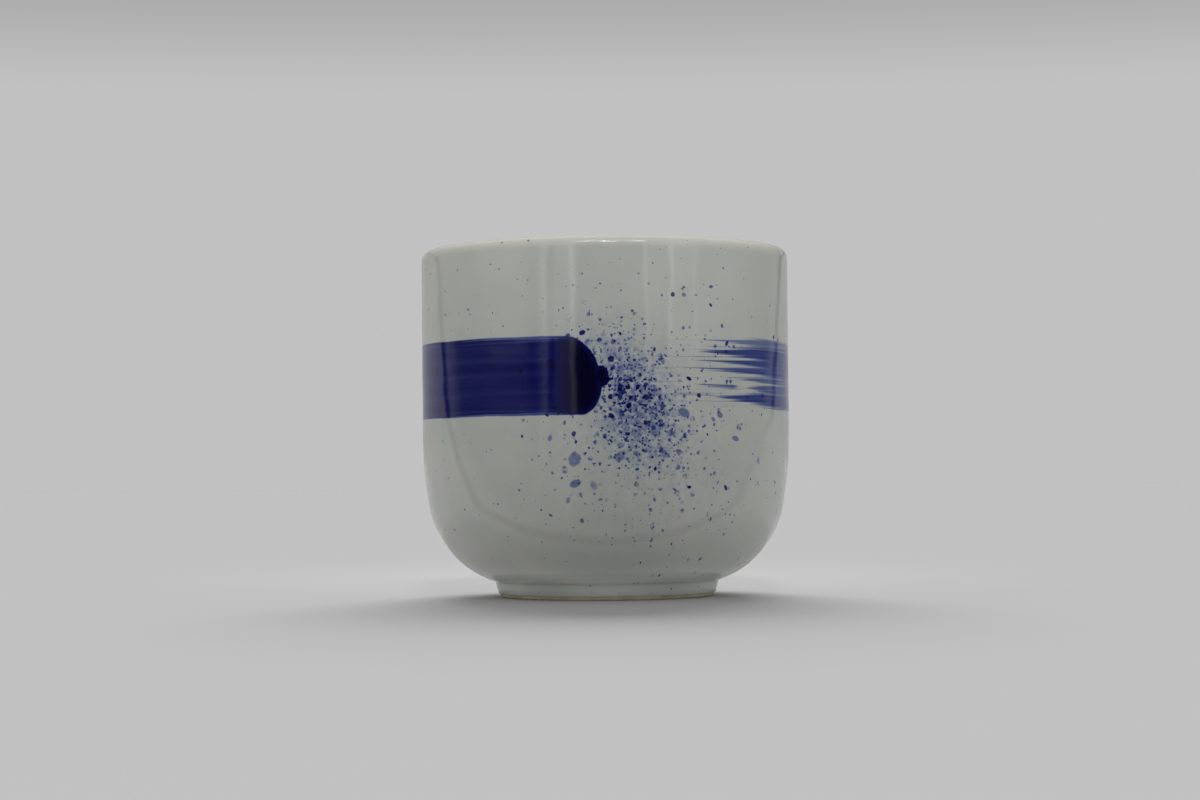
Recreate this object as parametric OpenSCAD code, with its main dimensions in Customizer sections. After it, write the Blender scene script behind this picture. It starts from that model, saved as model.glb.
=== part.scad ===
// Handleless porcelain teacup with a cobalt brush stroke and spatter.
// Millimetres. Z is up, and the origin is on the axis where the foot meets the table.
// The front, with the loaded head of the stroke, faces -Y. Turns are in degrees from the
// front, and a positive turn goes to the right as the front is seen.

/* [Cup] */
// Outside diameter of the straight wall, glazed
cup_d = 80; // [74:0.5:86]
// Height from the table to the top of the lip
cup_h = 75.3; // [66:0.1:90]
// Thickness of the wall, both coats of glaze included
wall_t = 3.5; // [3.2:0.1:4.5]
// Thickness of the floor, both coats of glaze included
floor_t = 4.2; // [3.6:0.1:6.5]
// Radius of the lip's outside edge, the rest of the wall rounds the inside edge
lip_r = 2.4; // [1.6:0.1:2.6]

/* [Lower curve] */
// Radius of the long curve under the straight wall
side_r = 114; // [90:1:140]
// Turn of the long curve before the tight curve takes over
side_turn = 8.4; // [6:0.1:11]
// Radius of the tight curve above the foot
low_r = 20.9; // [17:0.1:24]
// Height at which the tight curve would run out level
curve_z = 2.4; // [1.8:0.1:4]

/* [Foot] */
// Outside diameter of the foot where it meets the bowl, glazed
foot_d = 48.4; // [43:0.2:54]
// Width of the foot ring at the table, before its edges are rounded
foot_w = 3.2; // [2.6:0.1:4.5]
// Slope of the foot ring's two sides
foot_draft = 14; // [6:1:18]
// Radius of the rounded edges on which the foot stands
foot_edge_r = 0.5; // [0.3:0.05:0.7]
// Height of the bare edge that is wiped clean of glaze
bare_h = 0.8; // [0.75:0.05:1.2]
// Thickness of the slip that joins the foot to the bowl
slip_t = 0.4; // [0.2:0.05:0.6]

/* [Glaze] */
// Thickness of each coat of glaze
glaze_t = 0.35; // [0.25:0.05:0.5]
// Radius of the glaze pooled in the corners of the foot
pool_r = 0.6; // [0.4:0.05:0.8]
// Thickness of the cobalt that is fired onto the outer coat
cobalt_t = 0.08; // [0.05:0.01:0.15]

/* [Brush stroke] */
// Height of the stroke's centre line above the table
stroke_z = 46.5; // [45:0.1:52]
// Width of the stroke
stroke_w = 16.2; // [12:0.1:17]
// Turn of the loaded head's tip from the front
head_tip_turn = -1.4; // [-20:0.1:5]
// Length of the rounded head
head_l = 7.5; // [5:0.1:9]
// Radius of the blob that has run out of the head's tip
blob_r = 1.7; // [1:0.1:2.5]
// Turn over which the brush stays loaded
loaded_turn = 225; // [180:1:235]
// Turn of the longest track of the drying brush
dry_turn = 93; // [70:1:100]

/* [Spatter] */
// Distance along the wall from the head's tip to the middle of the spatter
spatter_x = 6.2; // [2:0.1:10]
// Height of the middle of the spatter
spatter_z = 42; // [38:0.5:50]
// Spread of the dense spatter along its lean
core_long = 8; // [5:0.1:10]
// Spread of the dense spatter across its lean
core_wide = 4.5; // [3:0.1:6]
// Lean of the dense spatter, from level towards the lip
core_lean = -60; // [-90:1:90]
// Spread of the stray drops
stray_spread = 14; // [10:0.5:16]
// Radius of the smallest drop
drop_r_min = 0.22; // [0.15:0.01:0.3]
// Radius of the largest drop
drop_r_max = 0.75; // [0.5:0.01:0.8]
// Radius of the smallest drop of thin wash
wash_r_min = 0.6; // [0.4:0.05:0.8]
// Radius of the largest drop of thin wash
wash_r_max = 1.7; // [1:0.05:1.9]

/* [Hidden] */

$fn = 144;
arc_steps = 16;
// Clear glaze left between two patches of cobalt
cobalt_gap = 1.25 * cobalt_t;
head_steps = 12;
drop_fn = 24;
// Turn at which the cut behind the head starts, deep enough to pass the curved wall
head_spare_turn = 40;
// Turn by which the uncut stroke passes the head's tip, which leaves room for the blob
tip_spare_turn = 5;
// Tracks of the drying brush: middle and width as shares of the stroke's width, up from its
// lower edge, and start and end as shares of the longest track
tracks = [
    [0.06, 0.1, 0, 0.36], [0.21, 0.13, 0, 0.92], [0.345, 0.1, 0, 0.77],
    [0.36, 0.03, 0.83, 1], [0.465, 0.045, 0, 0.84], [0.57, 0.08, 0, 0.99],
    [0.665, 0.085, 0, 0.965], [0.79, 0.125, 0, 0.99], [0.93, 0.075, 0, 0.93]
];
// A track keeps its width for a while, and thins out at its end to a share of it
thin_power = 7;
tip_share = 0.2;
track_step_turn = 2.5;
// Radius that keeps a track's flat facets on the round wall
track_r = cup_d / 2 / cos(track_step_turn / 2);
rad = 180 / PI;

cup_r = cup_d / 2;
foot_r = foot_d / 2;
lip_in_r = wall_t - lip_r;
lip_c = [cup_r - lip_r, cup_h - lip_r];
lip_in_c = [cup_r - lip_r, cup_h - lip_in_r];

// Centres of the two curves, which run into each other and into the straight wall
belly_z = curve_z + low_r + (side_r - low_r) * sin(side_turn);
side_c = [cup_r - side_r, belly_z];
low_c = side_c + (side_r - low_r) * [cos(side_turn), -sin(side_turn)];
join_z = low_c[1] - low_r * sin(side_turn);

// The clay base is flat inside the middle of the foot ring
base_r = foot_r - foot_w / 2;
base_z = under_z(base_r, glaze_t);
floor_z = base_z - glaze_t + floor_t;

// The inside follows the wall, then one curve turns it level into the floor
in_join = side_c + (side_r - wall_t) * [cos(side_turn), -sin(side_turn)];
in_low_r = (in_join[1] - floor_z) / (1 - sin(side_turn));
in_low_c = in_join - in_low_r * [cos(side_turn), -sin(side_turn)];

// Pooled glaze in the outer corner of the foot, and the glazed foot's slope under it
pool_x = foot_r + pool_r;
pool_c = [pool_x, low_c[1] - sqrt(pow(low_r + pool_r, 2) - pow(over(pool_x), 2))];
pool_a = 90 + asin(over(pool_x) / (low_r + pool_r));
foot_p = pool_c + pool_r * [-cos(foot_draft), sin(foot_draft)];

// The foot ring's own clay, inside its coats
coat_w = glaze_t / cos(foot_draft);
ring_top_z = base_z - slip_t;
ring_top_r = foot_out(ring_top_z) - coat_w;
ring_in_r = foot_out(0) - coat_w - foot_w;
ring_in_top_r = foot_in(ring_top_z);
recess_pool_z = base_z - glaze_t - pool_r;
recess_pool_c = [foot_in(recess_pool_z) - coat_w - pool_r / cos(foot_draft), recess_pool_z];

// Radius by which r lies outside the flat middle of the underside
function over(r) = max(0, r - low_c[0]);

// Height of the underside at radius r, at depth o below the glazed surface
function under_z(r, o) = low_c[1] - sqrt(pow(low_r - o, 2) - pow(over(r), 2));

// Turn of the tight curve at radius r, at depth o below the glazed surface
function under_a(r, o) = -acos(over(r) / (low_r - o));

// Outside radius of the glazed foot at height z
function foot_out(z) = foot_p[0] - (foot_p[1] - z) * tan(foot_draft);

// Inside radius of the bare foot ring at height z
function foot_in(z) = ring_in_r - z * tan(foot_draft);

function arc(c, r, a, b) = [
    for (i = [0 : arc_steps])
        let (t = a + (b - a) * i / arc_steps)
        c + r * [cos(t), sin(t)]
];

// Outside of the bowl at depth o below the glaze, up from the tight curve's turn a to the lip
function outside_line(o, a) = concat(
    arc(low_c, low_r - o, a, -side_turn),
    arc(side_c, side_r - o, -side_turn, 0),
    arc(lip_c, lip_r - o, 0, 90)
);

// Inside of the bowl at depth o below the glaze, down from the lip to the axis
function inside_line(o) = concat(
    arc(lip_in_c, lip_in_r - o, 90, 180),
    arc(side_c, side_r - wall_t + o, 0, -side_turn),
    arc(in_low_c, in_low_r + o, -side_turn, -90),
    [[0, floor_z - o]]
);

function backwards(line) = [for (i = [len(line) - 1 : -1 : 0]) line[i]];

// Jiggered porcelain bowl, fired as one piece of clay
module cup_body() color("#ded9cd")
    rotate_extrude()
        polygon(concat(
            outside_line(glaze_t, under_a(base_r, glaze_t)),
            inside_line(glaze_t),
            [[0, base_z]]
        ));

// Foot ring with two sloped sides and a rounded bare edge
module foot_ring() color("#cdbf9f")
    rotate_extrude()
        polygon(concat(
            arc(foot_edge_c(foot_out(0) - coat_w, 1), foot_edge_r, -90, -foot_draft),
            [[ring_top_r, ring_top_z], [ring_in_top_r, ring_top_z]],
            arc(foot_edge_c(ring_in_r, -1), foot_edge_r, 180 + foot_draft, 270)
        ));

// Centre of a rounded edge at the table under a side that starts at radius r
function foot_edge_c(r, side) = [
    r + side * foot_edge_r * (tan(foot_draft) - 1 / cos(foot_draft)),
    foot_edge_r
];

// Slip between the foot ring and the bowl, which fills the wedge under the tight curve
module luting_slip() color("#e6e1d4")
    rotate_extrude()
        polygon(concat(
            [[ring_in_top_r, ring_top_z], [ring_top_r, ring_top_z]],
            arc(low_c, low_r - glaze_t, under_a(ring_top_r, glaze_t), under_a(base_r, glaze_t)),
            [[ring_in_top_r, base_z]]
        ));

// Inside coat, from the top of the lip to the middle of the floor
module liner_glaze() color("#c3c7bf")
    rotate_extrude()
        polygon(concat(inside_line(0), backwards(inside_line(glaze_t))));

// Outside coat, from the top of the lip to the bare edge of the foot
module outer_glaze() color("#b4b8b0")
    rotate_extrude()
        polygon(concat(
            [[foot_out(bare_h) - coat_w, bare_h], [foot_out(bare_h), bare_h]],
            backwards(arc(pool_c, pool_r, pool_a, 180 - foot_draft)),
            outside_line(0, pool_a - 180),
            backwards(outside_line(glaze_t, under_a(ring_top_r, glaze_t))),
            [[ring_top_r, ring_top_z]]
        ));

// Coat of the recess inside the foot ring
module base_glaze() color("#b4b8b0")
    rotate_extrude()
        polygon(concat(
            [[0, base_z], [0, base_z - glaze_t]],
            arc(recess_pool_c, pool_r, 90, foot_draft),
            [
                [foot_in(bare_h) - coat_w, bare_h],
                [foot_in(bare_h), bare_h],
                [ring_in_top_r, ring_top_z],
                [ring_in_top_r, base_z]
            ]
        ));

// Brush stroke, which turns left from the head round the back of the cup
head_turn = head_tip_turn - asin(head_l / cup_r);
dry_start_turn = head_turn - loaded_turn;

// Number from 0 to 1 that looks random, the same each time for the same three whole numbers
function chance(i, j, k) =
    let (
        a = 43.7 * sin(rad * (2.399963 * i + 4.1357 * j + 1.7321 * k)),
        b = 29.3 * sin(rad * (1.2345 * i - 3.3171 * j + 0.9173 * k))
    )
    a + b - floor(a + b);

// Skin of cobalt on the straight wall, from turn a to the turn b on its right
module wall_patch(a, b, z, w)
    rotate([0, 0, a - 90])
        rotate_extrude(angle = b - a)
            translate([cup_r, z - w / 2])
                square([cobalt_t, w]);

// Blunt outline of the head, a little taller than the stroke so that it meets the edges at an angle
head_h = 1.04 * stroke_w / 2;
head_power = 2.2;
// The lower half runs on a little further than the upper one
head_lean = 0.15;
head_line = [
    for (i = [-head_steps : head_steps])
        let (a = 90 * i / head_steps, q = 2 / head_power, z = sign(a) * head_h * pow(abs(sin(a)), q))
        [head_l * pow(cos(a), q) - head_lean * z, z]
];

// Middle of the blob, on the head's outline and a little below its tip
blob_c = [head_l, -blob_r / 3];

// All that lies to the right of the head and its blob
module beyond_head()
    rotate([0, 0, head_turn])
        translate([0, -cup_r * cos(head_spare_turn), stroke_z])
            rotate([90, 0, 0])
                linear_extrude(cup_r)
                    difference() {
                        polygon(concat(head_line, [[2 * head_l, head_h], [2 * head_l, -head_h]]));
                        translate(blob_c)
                            circle(blob_r);
                    }

module brush_band() color("#17184f")
    difference() {
        wall_patch(dry_start_turn, head_tip_turn + tip_spare_turn, stroke_z, stroke_w);
        beyond_head();
    }

// Corners of a track's cross-section at turn a: inside low and high, then outside low and high
function track_section(a, z, w) = [
    for (r = [track_r, track_r + cobalt_t], side = [-1, 1])
        [r * sin(a), -r * cos(a), z + side * w / 2]
];

// The four sides of a track between the section that starts at corner i and the next one
function track_sides(i) = [
    [i, i + 1, i + 5, i + 4],
    [i + 6, i + 7, i + 3, i + 2],
    [i + 5, i + 1, i + 3], [i + 5, i + 3, i + 7],
    [i + 6, i + 2, i], [i + 6, i, i + 4]
];

// Skin of cobalt from turn a to the turn b on its left, where it has thinned out
module track(a, b, z, w) {
    steps = ceil((a - b) / track_step_turn);
    last = 4 * steps;
    polyhedron(
        [
            for (i = [0 : steps])
                let (t = i / steps)
                each track_section(a + (b - a) * t, z, w * (1 - (1 - tip_share) * pow(t, thin_power)))
        ],
        [
            [2, 3, 1, 0],
            for (i = [0 : steps - 1]) each track_sides(4 * i),
            [last, last + 1, last + 3, last + 2]
        ]
    );
}

// Tracks of the bristles as the brush runs out of cobalt
module dry_brush_streaks() color("#3b4275")
    for (t = tracks)
        track(
            dry_start_turn - t[2] * dry_turn,
            dry_start_turn - t[3] * dry_turn,
            stroke_z + (t[0] - 0.5) * stroke_w,
            t[1] * stroke_w
        );

// Drops lie one to a cell of a grid on the wall, which leaves each some room.
// A drop is [x along the wall, z, radius, lean, width as a share of its length].
drop_cell = 2.5 * drop_r_max;
wash_cell = 2.7 * wash_r_max;
tip_x = head_tip_turn / rad * cup_r;
head_x = tip_x - head_l;
track_end_x = (dry_start_turn - dry_turn + 360) / rad * cup_r;
middle = [tip_x + spatter_x, spatter_z];
reach = 2 * stray_spread;
// Strays lie further along the wall and lower, and the wash fell lower still
stray_shift = stray_spread * [0.29, -0.29];
wash_shift = stray_spread * [-0.35, -0.65];
wash_spread = stray_spread * [0.75, 0.7];
// Shares of the cells that hold a drop at the middle of each spread
core_share = 0.85;
stray_share = 0.22;
wash_share = 0.5;
// Most drops are small, which holds less for the wash, and some are drawn out
drop_power = 3;
wash_power = 1.6;
drop_stretch = 0.8;
// Where the numbers for each kind of drop start
spatter_seed = 23;
wash_seed = 110;

// Height at p of a bell round c, with its spread along a lean and across it
function bell(p, c, long, wide, lean = 0) =
    let (
        d = p - c,
        u = d * [cos(lean), sin(lean)] / long,
        v = d * [-sin(lean), cos(lean)] / wide
    )
    exp(-(u * u + v * v) / 2);

// Share of the cells that hold a drop at p
function spatter_at(p) =
    core_share * bell(p, middle, core_long, core_wide, core_lean) +
    stray_share * bell(p, middle + stray_shift, stray_spread, stray_spread);
function wash_at(p) =
    wash_share * bell(p, middle + wash_shift, wash_spread[0], wash_spread[1]);

function cell_drop(i, j, cell, r_min, r_max, power, k) =
    let (
        r = r_min + (r_max - r_min) * pow(chance(i, j, k + 2), power),
        play = cell - cobalt_gap - 2 * r
    )
    [
        cell * (i + 0.5) + play * (chance(i, j, k) - 0.5),
        cell * (j + 0.5) + play * (chance(i, j, k + 1) - 0.5),
        r,
        360 * chance(i, j, k + 5),
        1 / (1 + drop_stretch * chance(i, j, k + 6))
    ];

// True where a drop lies outside the stroke and its tracks and on the cup's side
function is_clear(d) =
    let (room = d[2] + cobalt_gap, x = d[0] - head_x, z = d[1] - stroke_z)
    d[1] - room > join_z - low_r / 2 &&
    d[1] + room < lip_c[1] &&
    (abs(z) > head_h + room || d[0] < track_end_x - room && past_head(x, z, room));

function past_head(x, z, room) =
    let (u = x + head_lean * z)
    u > 0 &&
    pow(u / (head_l + room), head_power) + pow(abs(z) / (head_h + room), head_power) > 1 &&
    norm([x, z] - blob_c) > blob_r + room;

function apart(d, others) =
    len([for (o = others) if (norm([d[0] - o[0], d[1] - o[1]]) < d[2] + o[2] + cobalt_gap) 1]) == 0;

function drops_in(cell, r_min, r_max, power, k, share) = [
    for (i = [floor((middle[0] - reach) / cell) : floor((middle[0] + reach) / cell)])
        for (j = [floor((middle[1] - reach) / cell) : floor((middle[1] + reach) / cell)])
            let (d = cell_drop(i, j, cell, r_min, r_max, power, k), p = cell * [i + 0.5, j + 0.5])
            if (chance(i, j, k + 3) < share(p) && is_clear(d)) d
];

washes = drops_in(
    wash_cell, wash_r_min, wash_r_max, wash_power, wash_seed, function (p) wash_at(p)
);
darks = drops_in(
    drop_cell, drop_r_min, drop_r_max, drop_power, spatter_seed, function (p) spatter_at(p)
);
spatter = [for (d = darks) if (apart(d, washes)) d];

// Slope of the outside at height z, downwards from level
function wall_tilt(z) =
    z > belly_z ? 0 :
    z > join_z ? asin((belly_z - z) / side_r) : asin((low_c[1] - z) / low_r);

// Outside radius of the bowl at height z
function wall_r(z) =
    z > belly_z ? cup_r :
    z > join_z ? side_c[0] + side_r * cos(wall_tilt(z)) : low_c[0] + low_r * cos(wall_tilt(z));

// Drops on the outer coat, each square to the surface
module drops(list)
    for (d = list)
        rotate([0, 0, d[0] / cup_r * rad])
            translate([0, -wall_r(d[1]), d[1]])
                rotate([90 + wall_tilt(d[1]), 0, 0])
                    rotate(d[3])
                        linear_extrude(cobalt_t)
                            scale([1, d[4]])
                                circle(d[2], $fn = drop_fn);

module spatter_drops() color("#20246b")
    drops(spatter);

module wash_drops() color("#6f7ca6")
    drops(washes);

cup_body();
foot_ring();
luting_slip();
liner_glaze();
outer_glaze();
base_glaze();
brush_band();
dry_brush_streaks();
spatter_drops();
wash_drops();
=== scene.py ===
"""Handleless porcelain teacup with a cobalt brush stroke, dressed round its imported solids."""

import math

import bpy
from bpy.props import FloatProperty, FloatVectorProperty, IntProperty, PointerProperty
from mathutils import Matrix, Vector, kdtree


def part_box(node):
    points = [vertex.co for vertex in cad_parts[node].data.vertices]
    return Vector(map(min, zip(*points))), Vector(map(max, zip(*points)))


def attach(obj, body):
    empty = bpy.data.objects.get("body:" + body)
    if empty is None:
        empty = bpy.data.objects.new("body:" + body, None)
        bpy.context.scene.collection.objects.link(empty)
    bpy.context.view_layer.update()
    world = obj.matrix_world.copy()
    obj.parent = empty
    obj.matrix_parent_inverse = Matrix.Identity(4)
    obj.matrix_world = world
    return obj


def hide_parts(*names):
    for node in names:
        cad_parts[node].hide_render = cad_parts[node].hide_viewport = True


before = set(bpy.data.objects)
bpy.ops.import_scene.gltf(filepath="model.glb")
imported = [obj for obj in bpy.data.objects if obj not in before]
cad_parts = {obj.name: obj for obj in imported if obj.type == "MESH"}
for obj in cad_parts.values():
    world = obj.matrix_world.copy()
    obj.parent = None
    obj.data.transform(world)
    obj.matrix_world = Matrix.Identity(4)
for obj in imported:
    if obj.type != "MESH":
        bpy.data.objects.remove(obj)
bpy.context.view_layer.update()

bl_info = {
    "name": "Cobalt Stroke Teacup",
    "version": (1, 0, 0),
    "blender": (4, 5, 0),
    "location": "View3D > Sidebar > Teacup",
    "description": "Dresses a packed teacup with glaze, cobalt, bare clay and a studio",
    "category": "Object",
}

MM = 0.001
IN_MM = 1 / MM
PHOTO_WIDTH = 1200
SENSOR_WIDTH = 36
UP = Vector((0, 0, 1))
BLACK = (0, 0, 0)
WHITE = (1, 1, 1)
MERGE_WITHIN = 0.005 * MM
SHARP_TURN = math.radians(40)
STAGE_SEGMENTS = 96

# Drops, as in the solids: size of a cell, least and largest radius in millimetres, power of the
# spread of radii and seed, with the gap between cells and the most that a drop is flattened
DARK_DROPS = (1.875, (0.22, 0.75), 3, 23)
WASH_DROPS = (4.59, (0.6, 1.7), 1.6, 110)
DROP_GAP = 0.1
DROP_STRETCH = 0.8

# Tracks of the drying brush: middle and width as shares of the stroke's width, up from its lower
# edge, start and end as shares of the longest track, and the strength of the cobalt
TRACKS = (
    (0.06, 0.1, 0, 0.36, 0.5),
    (0.21, 0.13, 0, 0.92, 0.62),
    (0.345, 0.1, 0, 0.77, 0.5),
    (0.36, 0.03, 0.83, 1, 0.5),
    (0.465, 0.045, 0, 0.84, 0.44),
    (0.57, 0.08, 0, 0.99, 0.54),
    (0.665, 0.085, 0, 0.965, 0.6),
    (0.79, 0.125, 0, 0.99, 0.62),
    (0.93, 0.075, 0, 0.93, 0.4),
)

# Layers of fine dots: size of a cell and of the largest dot in millimetres, and the strength of
# the palest and of the deepest dot
MIST = ((1.7, 0.75, 0.12, 0.6), (1.05, 0.5, 0.14, 0.75), (0.7, 0.3, 0.12, 0.75))

COAT_LOW, COAT_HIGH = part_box("outer_glaze")
LINER_LOW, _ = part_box("liner_glaze")
CLAY_LOW, CLAY_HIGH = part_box("cup_body")
_, RING_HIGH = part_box("foot_ring")
STROKE_LOW, STROKE_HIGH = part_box("brush_band")


def srgb(code):
    """Linear colour of a hex code."""
    parts = [int(code[i : i + 2], 16) / 255 for i in (0, 2, 4)]
    return [p / 12.92 if p <= 0.04045 else ((p + 0.055) / 1.055) ** 2.4 for p in parts]


def size(name, default, description):
    """A size in metres."""
    return FloatProperty(
        name=name, description=description, default=default, min=0, precision=5, unit="LENGTH"
    )


def turn(name, degrees, description):
    """An angle, given in degrees."""
    return FloatProperty(
        name=name, description=description, default=math.radians(degrees), subtype="ANGLE"
    )


def share(name, default, description):
    """A share from 0 to 1."""
    return FloatProperty(
        name=name, description=description, default=default, min=0, max=1, subtype="FACTOR"
    )


def tint(name, code, description):
    """A colour, given as a hex code."""
    return FloatVectorProperty(
        name=name, description=description, default=srgb(code), min=0, max=1, subtype="COLOR"
    )


class TeacupShape(bpy.types.PropertyGroup):
    """Sizes of the coats and the foot, the same as the solids have."""

    radius: size("Radius", COAT_HIGH.x, "Outside of the straight wall")
    height: size("Height", COAT_HIGH.z, "Top of the lip above the table")
    wall: size("Wall", 3.5 * MM, "Thickness of the wall, glazed")
    lip_radius: size("Lip radius", 2.4 * MM, "Rounding of the lip's outside edge")
    side_radius: size("Side radius", 114 * MM, "Long curve under the straight wall")
    side_turn: turn("Side turn", 8.4, "Turn of the long curve")
    low_radius: size("Low radius", 20.9 * MM, "Tight curve above the foot")
    curve_height: size("Curve height", 2.4 * MM, "Where the tight curve would run out level")
    floor_height: size("Floor height", LINER_LOW.z, "Underside of the coat on the inside floor")
    foot_radius: size("Foot radius", 24.2 * MM, "Outside of the foot under the bowl, glazed")
    foot_width: size("Foot width", 3.2 * MM, "Width of the foot ring at the table")
    foot_draft: turn("Foot draft", 14, "Slope of the foot ring's sides")
    foot_edge: size("Foot edge", 0.5 * MM, "Rounding of the edges that the cup stands on")
    foot_height: size("Foot height", RING_HIGH.z, "Top of the foot ring, under the slip")
    bare_height: size("Bare height", COAT_LOW.z, "Edge that is wiped clean of glaze")
    base_height: size("Base height", CLAY_LOW.z, "Underside of the clay inside the foot")
    glaze: size("Glaze", COAT_HIGH.z - CLAY_HIGH.z, "Thickness of a coat of glaze")
    pool_radius: size("Pool radius", 0.6 * MM, "Glaze pooled in the corners of the foot")
    ripple_depth: size("Ripple depth", 0.13 * MM, "Depth of the soft ripples in the glaze")
    ripple_size: size("Ripple size", 9 * MM, "Size of the soft ripples in the glaze")
    segments: IntProperty(
        name="Segments", description="Faces round the cup", default=256, min=32, max=512
    )


class TeacupGlaze(bpy.types.PropertyGroup):
    """Colours and gloss of the glaze and the clay."""

    thin: tint("Thin glaze", "c4c6bf", "Glaze where it lies thin")
    thick: tint("Thick glaze", "bdc2bb", "Glaze where it lies thick")
    # The lip tint is partly real, warm clay under thin glaze, and partly painted light: it is lighter
    # than the glaze to stand for light falling on the lip
    lip: tint("Lip", "e1dfd4", "Clay that shows warm through the glaze on the lip")
    pool: tint("Pool", "a4aea9", "Glaze pooled in corners")
    speck: tint("Speck", "4d4a44", "Iron specks and pinholes")
    clay: tint("Bare clay", "d6cbb0", "Bare clay of the foot, toasted in the kiln")
    soot: tint("Worn clay", "8f7f66", "Grain and wear of the bare clay")
    biscuit: tint("Biscuit", "d8d2c6", "Fired clay under the glaze")
    gloss: share("Roughness", 0.06, "Roughness of the glaze")


class TeacupStroke(bpy.types.PropertyGroup):
    """Place and strength of the cobalt, in line with the solids of the stroke and drops."""

    height: size("Height", (STROKE_LOW.z + STROKE_HIGH.z) / 2, "Centre line of the stroke")
    width: size("Width", STROKE_HIGH.z - STROKE_LOW.z, "Width of the stroke")
    tip: turn("Tip", -1.4, "Turn of the head's tip from the front")
    head: size("Head", 7.5 * MM, "Length of the rounded head")
    blob: size("Blob", 1.7 * MM, "Radius of the blob that has run out of the head's tip")
    loaded: turn("Loaded", 225, "Turn over which the brush stays loaded")
    drying: turn("Drying", 93, "Turn of the longest track of the drying brush")
    spatter_along: size("Spatter along", 6.2 * MM, "From the head's tip to the spatter's middle")
    spatter_height: size("Spatter height", 42 * MM, "Height of the spatter's middle")
    wash: tint("Wash", "a6b2dc", "Share of the light that a thin wash lets through")
    dry: tint("Dry", "5f6cc2", "Share that a dry brush mark lets through")
    band: tint("Band", "1c1f7a", "Share that the stroke lets through")
    pooled: tint("Pooled", "0a0838", "Share that the pooled head lets through")


class TeacupStudio(bpy.types.PropertyGroup):
    """Camera, lamps and surroundings."""

    camera_place: FloatVectorProperty(
        name="Camera place",
        description="Where the camera stands",
        default=(-1.215 * MM, -561.5 * MM, 25.7 * MM),
        subtype="TRANSLATION",
    )
    camera_rise: turn("Camera rise", 1.736, "Angle by which the camera looks up")
    camera_roll: turn("Camera roll", -0.504, "Angle by which the camera leans")
    focal_px: FloatProperty(
        name="Focal length",
        description="Focal length in pixels of a frame 1200 pixels wide",
        default=2568.7,
        subtype="PIXEL",
    )
    ground: tint("Ground", "c2c1c2", "Floor and background")


class Number:
    """A number in a material's nodes, so that a pattern reads as a formula."""

    def __init__(self, tree, socket):
        self.tree = tree
        self.socket = socket

    def __add__(self, other):
        return maths("ADD", self, other)

    def __sub__(self, other):
        return maths("SUBTRACT", self, other)

    def __rsub__(self, other):
        return maths("SUBTRACT", other, self)

    def __mul__(self, other):
        return maths("MULTIPLY", self, other)

    def __truediv__(self, other):
        return maths("DIVIDE", self, other)

    def __pow__(self, other):
        return maths("POWER", self, other)

    def __lt__(self, other):
        return maths("LESS_THAN", self, other)

    def __gt__(self, other):
        return maths("GREATER_THAN", self, other)

    def __abs__(self):
        return maths("ABSOLUTE", self)

    __radd__ = __add__
    __rmul__ = __mul__


def feed(tree, socket, value):
    """Sets a socket to a constant, or links it to another socket."""
    if isinstance(value, Number):
        value = value.socket
    if isinstance(value, bpy.types.NodeSocket):
        tree.links.new(value, socket)
    elif socket.type == "RGBA":
        socket.default_value = (*value, 1)
    else:
        socket.default_value = value


def maths(operation, *values):
    """Result of one step of arithmetic."""
    tree = next(v.tree for v in values if isinstance(v, Number))
    node = tree.nodes.new("ShaderNodeMath")
    node.operation = operation
    for socket, value in zip(node.inputs, values):
        feed(tree, socket, value)
    return Number(tree, node.outputs[0])


def ramp(low, high, value):
    """Smooth rise from 0 at low to 1 at high, or a fall where low is the larger."""
    node = value.tree.nodes.new("ShaderNodeMapRange")
    node.interpolation_type = "SMOOTHSTEP"
    for name, number in (("Value", value), ("From Min", low), ("From Max", high)):
        feed(value.tree, node.inputs[name], number)
    return Number(value.tree, node.outputs["Result"])


def over(*layers):
    """Strength of layers of pigment that lie over each other."""
    clear = 1 - layers[0]
    for layer in layers[1:]:
        clear = clear * (1 - layer)
    return 1 - clear


def chance(i, j, k):
    """Number from 0 to 1 that looks random, as the solids of the drops work it out."""
    a = maths("SINE", 2.399963 * i + (4.1357 * j + 1.7321 * k))
    b = maths("SINE", 1.2345 * i + (0.9173 * k - 3.3171 * j))
    return maths("FRACT", 43.7 * a + 29.3 * b)


def blend(tree, factor, first, second, kind="MIX"):
    """Colour from first to second."""
    node = tree.nodes.new("ShaderNodeMix")
    node.data_type = "RGBA"
    node.blend_type = kind
    for socket, value in ((0, factor), (6, first), (7, second)):
        feed(tree, node.inputs[socket], value)
    return node.outputs[2]


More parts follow.
